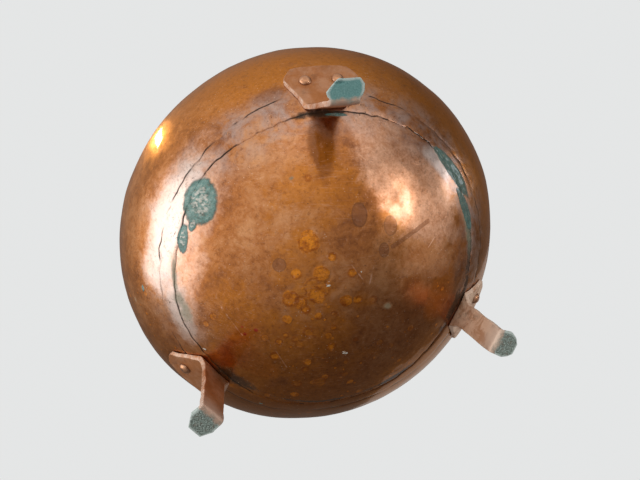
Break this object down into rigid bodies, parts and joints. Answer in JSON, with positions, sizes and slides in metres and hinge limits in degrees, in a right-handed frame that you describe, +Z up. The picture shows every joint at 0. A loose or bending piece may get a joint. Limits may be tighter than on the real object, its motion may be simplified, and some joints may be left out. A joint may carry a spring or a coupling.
{
  "type": "alembic still",
  "caption": "Round copper alembic boiler on riveted strap feet with swinging side handles and a lift-off domed head whose tapered beak leads the vapour away.",
  "frame": {"origin": "on the floor, under the boiler's vertical axis", "axes": "+Z up along the boiler's axis, +X from the axis towards the beak's outlet, +Y to the left of the beak"},
  "size_m": [0.3949, 0.3, 0.4635],
  "materials": {
    "boiler_copper": "aged lacquered copper, lightly hammered",
    "foot_copper": "dull browned copper strap with verdigris on the toes",
    "rivet_copper": "hammered copper rivet heads",
    "head_copper": "aged copper, lightly hammered",
    "handle_brass": "dull cast and forged brass",
    "finial_brass": "turned brass, darkened",
    "packing": "linen packing stiffened with dried paste"
  },
  "bodies": {
    "boiler": {"bottom_bowl": "boiler_copper", "belly": "boiler_copper", "shoulder": "boiler_copper", "neck_collar": "boiler_copper", "neck_rim": "boiler_copper", "rear_foot": "foot_copper", "left_foot": "foot_copper", "right_foot": "foot_copper", "foot_rivets": "rivet_copper", "foot_burrs": "rivet_copper", "lug_rivets": "rivet_copper", "left_lugs": "handle_brass", "right_lugs": "handle_brass"},
    "left_handle": {"left_handle": "handle_brass"},
    "right_handle": {"right_handle": "handle_brass"},
    "neck_packing": {"lute_ring": "packing"},
    "head": {"head_spigot": "head_copper", "head_pan": "head_copper", "vapour_throat": "head_copper", "head_dome": "head_copper", "beak_tube": "head_copper", "beak_saddle": "head_copper", "saddle_rivets": "rivet_copper", "beak_ring": "head_copper", "finial": "finial_brass", "finial_nut": "finial_brass"}
  },
  "joints": [
    {"name": "left_handle_swing", "type": "hinge", "parent": "boiler", "child": "left_handle", "pos_m": [0, 0.117, 0.232], "axis": [1, 0, 0], "range_deg": [0, 187]},
    {"name": "right_handle_swing", "type": "hinge", "parent": "boiler", "child": "right_handle", "pos_m": [0, -0.117, 0.232], "axis": [-1, 0, 0], "range_deg": [0, 187]},
    {"name": "head_lift", "type": "slide", "parent": "boiler", "child": "neck_packing", "axis": [0, 0, 1], "range_m": [0, 0.08]},
    {"name": "head_turn", "type": "hinge", "parent": "neck_packing", "child": "head", "pos_m": [0, 0, 0.302], "axis": [0, 0, 1], "continuous": true}
  ]
}
